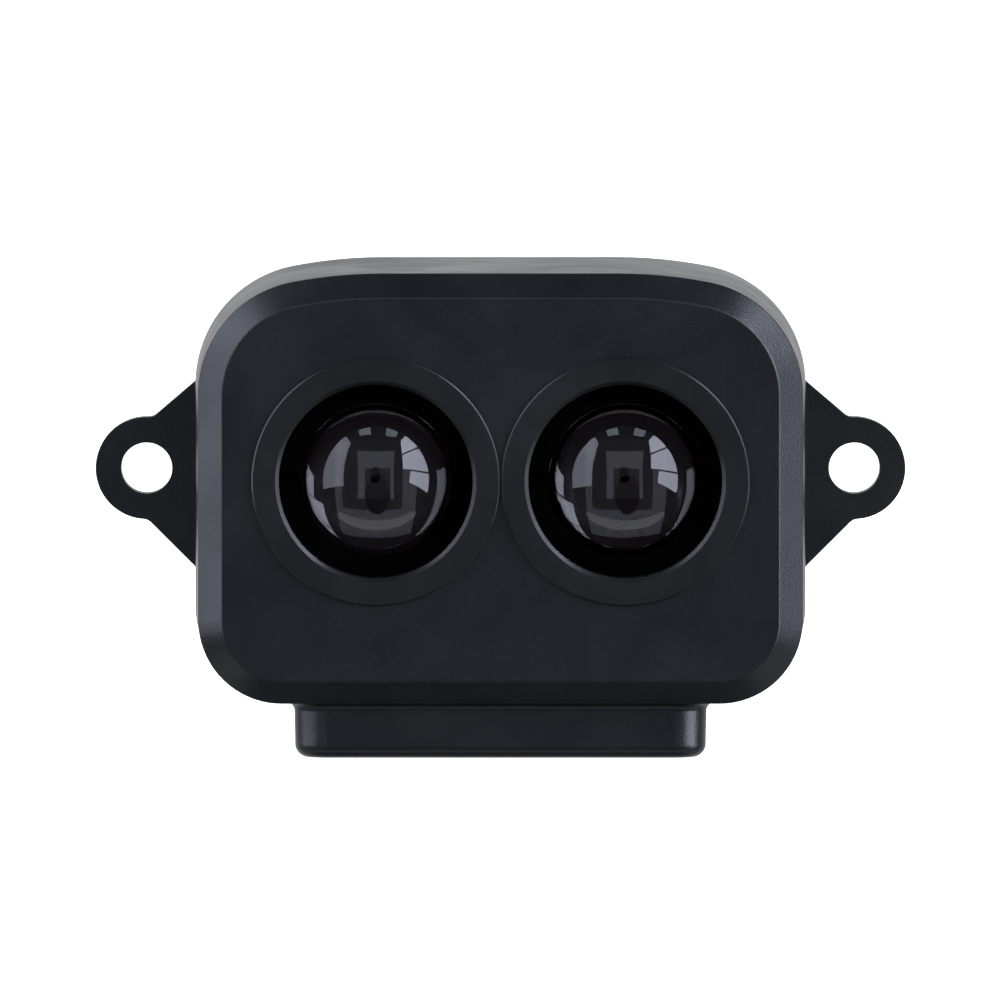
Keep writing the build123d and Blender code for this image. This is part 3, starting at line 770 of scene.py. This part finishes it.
@dataclass
class Enclosure:
    """The front housing, the rear cover with its ears, the bezels and the rear label."""

    def dress(self) -> None:
        """Gives the enclosure's CAD nodes their finishes."""
        dress(("front_housing",), HOUSING_ABS.build())
        dress(("rear_cover",), COVER_ABS.build())
        dress(("emitter_bezel", "receiver_bezel"), BEZEL_ABS.build())
        dress(("rear_label",), PrintedFilm().build(*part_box("rear_label")))


@dataclass
class LensPair:
    """Two thick plano-convex acrylic lenses, turned far finer than the CAD facets."""

    front_radius: float = 8.0
    rear_radius: float = 300.0  # all but flat
    aperture: float = 6.4  # radius of the curved front
    rear_aperture: float = 6.0  # radius of the rear face inside the rim
    rim_thickness: float = 2.05
    step: float = 0.45  # straight side between the front curve and the rim
    sides: int = 128
    rings: int = 40

    def profile(self, front: float, rim_radius: float) -> list[tuple[float, float]]:
        """The lens's outline from its front vertex to its rear one.

        Args:
            front: The y of the front vertex, in metres.
            rim_radius: The radius of the flat rim, in metres.

        Returns:
            (radius, y) pairs in metres.
        """

        def sag(curve: float, distance: float) -> float:
            """How far a spherical face falls away at a distance from its axis."""
            return curve - math.sqrt(curve**2 - distance**2)

        front_steps = [self.aperture * i / self.rings for i in range(self.rings + 1)]
        rear_steps = [self.rear_aperture * i / self.rings for i in range(self.rings, -1, -1)]
        seat = front + (sag(self.front_radius, self.aperture) + self.step) * MM
        rim_rear = seat + self.rim_thickness * MM
        rear_vertex = rim_rear + sag(self.rear_radius, self.rear_aperture) * MM
        outline = [(r * MM, front + sag(self.front_radius, r) * MM) for r in front_steps]
        outline += [(self.aperture * MM, seat), (rim_radius, seat), (rim_radius, rim_rear)]
        outline += [(r * MM, rear_vertex - sag(self.rear_radius, r) * MM) for r in rear_steps]
        return outline

    def build(self) -> None:
        """Makes both lenses in place of their CAD nodes."""
        acrylic = ClearAcrylic().build()
        for node in ("emitter_lens", "receiver_lens"):
            low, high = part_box(node)
            centre = (low + high) / 2
            outline = self.profile(low.y, (high.x - low.x) / 2)
            piece = turned_piece(f"{node}_polished", centre, outline, self.sides)
            finish_piece(piece, acrylic, "lens_acrylic", node)


@dataclass
class OpticsBehindTheLenses:
    """The bench, the retainers and all the seals, dull black to trap stray light."""

    def dress(self) -> None:
        """Gives the optical parts their finishes."""
        black = BENCH_NYLON.build()
        dress(("optical_bench", "emitter_retainer", "receiver_retainer"), black)
        rubber = SEAL_SILICONE.build()
        dress(("emitter_lens_seal", "receiver_lens_seal", "front_gasket"), rubber)
        dress(("cover_gasket", "socket_seal"), rubber)


@dataclass
class Electronics:
    """The three boards and everything soldered to them."""

    def dress(self) -> None:
        """Gives the boards and their components their finishes."""
        dress(("main_board", "emitter_board", "receiver_board"), SolderMask().build())
        epoxy = CHIP_EPOXY.build()
        dress(("processor", "timing_chip", "driver_chip", "power_inductor", "photodiode"), epoxy)
        dress(("emitter_diode",), DIODE_EPOXY.build())
        dress(("receiver_shield",), SHIELD_BLACK.build())
        dress(("crystal",), SHIELD_TIN.build())
        dress(("bandpass_filter",), FilterGlass().build())
        dress(("capacitors",), CeramicChip().build())
        dress(("thermal_pad",), PAD_SILICONE.build())
        dress(("board_pins", "socket_contacts"), PIN_GOLD.build())
        dress(("cable_socket", "emitter_header", "receiver_header"), SOCKET_NYLON.build())


@dataclass
class Fasteners:
    """All the machine screws."""

    def dress(self) -> None:
        """Gives every screw its finish."""
        dress(("cover_screws", "bench_screws", "board_screws", "sensor_board_screws"), SCREW_STEEL.build())


# ---------------------------------------------------------------- studio


class Side(Enum):
    """Which side of the object a softbox hangs on."""

    LEFT = -1
    RIGHT = 1


@dataclass(frozen=True)
class Softbox:
    """A flat rectangular light, by its centre and the way its edges run, in metres."""

    name: str
    centre: tuple[float, float, float]
    across: tuple[float, float, float]
    up: tuple[float, float, float]
    size: tuple[float, float]
    brightness: float
    colour: str = "#ffffff"

    def hang(self) -> None:
        """Hangs the light so that it faces the object."""
        light = bpy.data.lights.new(self.name, "AREA")
        light.shape = "RECTANGLE"
        light.size, light.size_y = self.size
        light.color = linear(self.colour)[:3]
        light.energy = self.brightness * math.pi * self.size[0] * self.size[1]
        across = Vector(self.across).normalized()
        back = across.cross(Vector(self.up)).normalized()
        axes = Matrix((across, back.cross(across), back)).transposed()
        holder = bpy.data.objects.new(self.name, light)
        holder.matrix_world = Matrix.Translation(self.centre) @ axes.to_4x4()
        holder.visible_camera = False
        bpy.context.scene.collection.objects.link(holder)
        LOG.info("%s: softbox", self.name)


@dataclass(frozen=True)
class SidePanel:
    """One upright panel of a side softbox, by where its edges run, in metres."""

    side: Side
    number: int
    near: float  # y of the edge towards the camera
    far: float  # y of the edge behind the object
    low: float  # z of the lower edge
    high: float  # z of the upper edge
    brightness: float
    slope: float = 0.0  # how much the panel climbs for each metre towards the back
    pivot: float = -0.8  # the y at which low and high are given
    distance: float = 1.0
    colour: str = "#e6ebff"

    def hang(self) -> None:
        """Hangs the panel beside the object."""
        middle = (self.near + self.far) / 2
        stretch = math.hypot(1.0, self.slope)
        Softbox(
            f"softbox_{self.side.name.lower()}_{self.number}",
            (
                self.side.value * self.distance,
                middle,
                (self.low + self.high) / 2 + self.slope * (middle - self.pivot),
            ),
            (0.0, self.side.value, self.side.value * self.slope),
            (0.0, 0.0, 1.0),
            (stretch * (self.far - self.near), (self.high - self.low) / stretch),
            self.brightness,
            self.colour,
        ).hang()


@dataclass
class Studio:
    """A pale floor, a pale surround, softboxes and a long lens on the camera."""

    distance: float = 1500.0  # mm from the object's middle to the camera
    elevation: float = 2.95  # degrees the camera stands above the lens axis
    focal_length: float = 637.5
    raise_aim: float = 0.52  # mm the camera aims above the object's middle
    sensor: float = 36.0
    floor_radius: float = 4200.0
    floor_sides: int = 96
    paper_fibre: float = 2.0  # mm across one fibre of the paper sweep
    # Left, right, low and high edges, in degrees from the lens axis.
    card_reach: tuple[float, float, float, float] = (-22.1, 21.5, -23.5, 34.2)
    camera_reach: tuple[float, float, float, float] = (-13.6, 17.3, -23.5, 13.0)
    hood_centre: tuple[float, float] = (-1.0, 5.4)  # degrees across and up
    hood_reach: tuple[float, float] = (6.0, 10.0)  # half its width and height, in degrees
    card_brightness: float = 0.92
    camera_darkens: float = 0.88  # how much of the card's light the camera in front of it takes
    room_brightness: float = 0.12
    room_colour: str = "#e9edff"  # daylight from the room, a little blue
    backdrop_brightness: float = 0.82
    backdrop_edges: tuple[float, float] = (0.2, 0.95)  # where it starts and is full, 1 being dead behind

    def lights(self) -> None:
        """Hangs the side boxes, a strip low in front, two cool lamps above and the floor's glow."""
        tilt = -0.25
        for panel in (
            SidePanel(Side.LEFT, 1, -1.2, 0.15, -0.2, 0.6, 2.8),
            SidePanel(Side.LEFT, 2, -1.2, 0.5, 0.6, 1.38, 3.3),
            # The gaps between these three show as two thin bars in the lenses.
            SidePanel(Side.RIGHT, 1, -1.15, -0.14, -0.2, 0.16, 6.9, tilt),
            SidePanel(Side.RIGHT, 2, -1.5, -0.14, 0.2, 0.76, 7.1, tilt),
            SidePanel(Side.RIGHT, 3, -1.35, -0.06, 0.82, 1.45, 7.6, tilt),
        ):
            panel.hang()
        for side, x, y in ((Side.LEFT, -0.257, -0.56), (Side.RIGHT, 0.333, -0.58)):
            Softbox(
                f"cool_lamp_{side.name.lower()}",
                (x, y, 1.0),
                (1.0, 0.0, 0.0),
                (0.0, 1.0, 0.0),
                (0.255, 0.265),
                2.7,
                "#d9f2ff",
            ).hang()
        for side in Side:
            Softbox(
                f"floor_glow_{side.name.lower()}",
                (side.value, 0.0, -1.0),
                (0.0, side.value, 0.0),
                (side.value, 0.0, 1.0),
                (0.8, 0.8),
                0.4,
            ).hang()
        Softbox(
            "low_strip", (0.03, -0.65, -1.0), (-1.0, 0.0, 0.0), (0.0, 1.0, 0.0), (2.26, 0.33), 0.85
        ).hang()

    def patch(self, tree: bpy.types.NodeTree, axes: bpy.types.Node, reach: tuple) -> bpy.types.NodeSocket:
        """Masks a rectangle of directions in front of the object.

        Args:
            tree: The surround's node tree.
            axes: The node that holds the direction's parts.
            reach: Left, right, low and high edges, in degrees from the lens axis.

        Returns:
            One inside the rectangle and zero outside it.
        """
        left, right, low, high = (math.sin(math.radians(edge)) for edge in reach)
        ahead = add_node(tree, "ShaderNodeMath", {0: axes.outputs["Y"], 1: 0.0}, operation="LESS_THAN")
        mask = ahead.outputs["Value"]
        for axis, start, end in (("X", left, right), ("Z", low, high)):
            inside = add_node(
                tree,
                "ShaderNodeMath",
                {0: axes.outputs[axis], 1: (start + end) / 2, 2: (end - start) / 2},
                operation="COMPARE",
            )
            mask = add_node(
                tree, "ShaderNodeMath", {0: mask, 1: inside.outputs["Value"]}, operation="MULTIPLY"
            ).outputs["Value"]
        return mask

    def card(self, tree: bpy.types.NodeTree, axes: bpy.types.Node) -> bpy.types.NodeSocket:
        """The white card round the camera, with the dark camera and its hood in front of it.

        Args:
            tree: The surround's node tree.
            axes: The node that holds the direction's parts.

        Returns:
            The brightness that the card adds to the surround.
        """
        card = self.patch(tree, axes, self.card_reach)
        rig = self.patch(tree, axes, self.camera_reach)
        shaded = add_node(
            tree,
            "ShaderNodeMath",
            {0: rig, 1: -self.camera_darkens * self.card_brightness, 2: self.card_brightness},
            operation="MULTIPLY_ADD",
        )
        lit = add_node(tree, "ShaderNodeMath", {0: card, 1: shaded.outputs["Value"]}, operation="MULTIPLY")
        glow = add_node(
            tree, "ShaderNodeMath", {0: lit.outputs["Value"], 1: self.room_brightness}, operation="ADD"
        )
        across, up = (math.sin(math.radians(edge)) for edge in self.hood_centre)
        wide, tall = (math.sin(math.radians(reach)) for reach in self.hood_reach)
        way = add_node(tree, "ShaderNodeTexCoord").outputs["Generated"]
        shift = add_node(tree, "ShaderNodeVectorMath", {0: way, 1: (across, 0.0, up)}, operation="SUBTRACT")
        scaled = add_node(
            tree,
            "ShaderNodeVectorMath",
            {0: shift.outputs["Vector"], 1: (1 / wide, 0.0, 1 / tall)},
            operation="MULTIPLY",
        )
        distance = add_node(tree, "ShaderNodeVectorMath", {0: scaled.outputs["Vector"]}, operation="LENGTH")
        hood = add_node(
            tree, "ShaderNodeMath", {0: distance.outputs["Value"], 1: 1.0}, operation="GREATER_THAN"
        )
        open_card = add_node(
            tree, "ShaderNodeMath", {0: glow.outputs["Value"], 1: hood.outputs["Value"]}, operation="MULTIPLY"
        )
        return open_card.outputs["Value"]

    def surround(self) -> None:
        """Makes the surround: white to the camera, bright behind the object, dim in front."""
        world = bpy.data.worlds.new("pale_surround")
        world.use_nodes = True
        tree = world.node_tree
        tree.nodes.clear()
        way = add_node(tree, "ShaderNodeTexCoord").outputs["Generated"]
        axes = add_node(tree, "ShaderNodeSeparateXYZ", {"Vector": way})
        start, full = self.backdrop_edges
        behind = add_node(
            tree,
            "ShaderNodeMapRange",
            {
                "Value": axes.outputs["Y"],
                "From Min": start,
                "From Max": full,
                "To Min": 0.0,
                "To Max": self.backdrop_brightness,
            },
        )
        card = self.card(tree, axes)
        glow = add_node(tree, "ShaderNodeMath", {0: behind.outputs["Result"], 1: card}, operation="ADD")
        tint = add_node(
            tree,
            "ShaderNodeMix",
            {0: behind.outputs["Result"], 6: linear(self.room_colour), 7: linear("#ffffff")},
            data_type="RGBA",
        )
        dim = add_node(
            tree, "ShaderNodeBackground", {"Color": tint.outputs[2], "Strength": glow.outputs["Value"]}
        )
        white = add_node(tree, "ShaderNodeBackground", {"Color": (1, 1, 1, 1), "Strength": 1.0})
        seen = add_node(tree, "ShaderNodeLightPath").outputs["Is Camera Ray"]
        mixed = add_node(
            tree,
            "ShaderNodeMixShader",
            {0: seen, 1: dim.outputs["Background"], 2: white.outputs["Background"]},
        )
        add_node(tree, "ShaderNodeOutputWorld", {"Surface": mixed.outputs["Shader"]})
        bpy.context.scene.world = world

    def floor(self) -> None:
        """Lays a pale round floor under the object, bright enough to merge into the surround."""
        material, tree = blank_material("matt_white_paper_sweep")
        place = add_node(tree, "ShaderNodeTexCoord").outputs["Object"]
        fibre = add_node(
            tree, "ShaderNodeTexNoise", {"Vector": place, "Scale": per_mm(self.paper_fibre), "Detail": 4.0}
        )
        tone = add_node(
            tree,
            "ShaderNodeMix",
            {0: fibre.outputs["Fac"], 6: linear("#f4f4f4"), 7: linear("#ffffff")},
            data_type="RGBA",
        )
        paper = add_node(tree, "ShaderNodeBsdfDiffuse", {"Color": tone.outputs[2]})
        glow = add_node(tree, "ShaderNodeEmission", {"Strength": 1.0})
        lit = add_node(tree, "ShaderNodeAddShader", {0: paper.outputs[0], 1: glow.outputs[0]})
        clear = add_node(tree, "ShaderNodeBsdfTransparent")
        under = add_node(tree, "ShaderNodeNewGeometry").outputs["Backfacing"]
        sided = add_node(tree, "ShaderNodeMixShader", {0: under, 1: lit.outputs[0], 2: clear.outputs[0]})
        output_surface(tree, sided.outputs["Shader"])
        sides = self.floor_sides
        turns = [2 * math.pi * side / sides for side in range(sides)]
        low = CAD_BOX[0].z
        radius = self.floor_radius * MM
        points = [(math.cos(t) * radius, math.sin(t) * radius, low) for t in turns]
        sweep = mesh_object("paper_floor", points, [list(range(sides))])
        sweep.data.materials.append(material)
        for ray in ("glossy", "diffuse", "transmission", "shadow"):
            setattr(sweep, f"visible_{ray}", False)

    def camera(self) -> None:
        """Places the camera in front, a little above the lens axis."""
        data = bpy.data.cameras.new("long_lens")
        data.sensor_width, data.lens = self.sensor, self.focal_length
        data.clip_start, data.clip_end = 0.1, 20.0
        camera = bpy.data.objects.new("camera", data)
        low, high = CAD_BOX
        aim = (low + high) / 2 + Vector((0, 0, self.raise_aim * MM))
        tilt = math.radians(self.elevation)
        back = Vector((0, -math.cos(tilt), math.sin(tilt)))
        camera.location = aim + back * self.distance * MM
        camera.rotation_euler = (-back).to_track_quat("-Z", "Y").to_euler()
        bpy.context.scene.collection.objects.link(camera)
        bpy.context.scene.camera = camera

    def build(self) -> None:
        """Sets up the whole studio."""
        bpy.context.scene.view_settings.view_transform = "Standard"
        self.surround()
        self.floor()
        self.lights()
        self.camera()


def main() -> None:
    """Builds the sensor's looks and the studio around it."""
    logging.basicConfig(level=logging.INFO, format="%(message)s")
    Enclosure().dress()
    OpticsBehindTheLenses().dress()
    LensPair().build()
    Electronics().dress()
    Fasteners().dress()
    Studio().build()


if __name__ == "__main__":
    main()
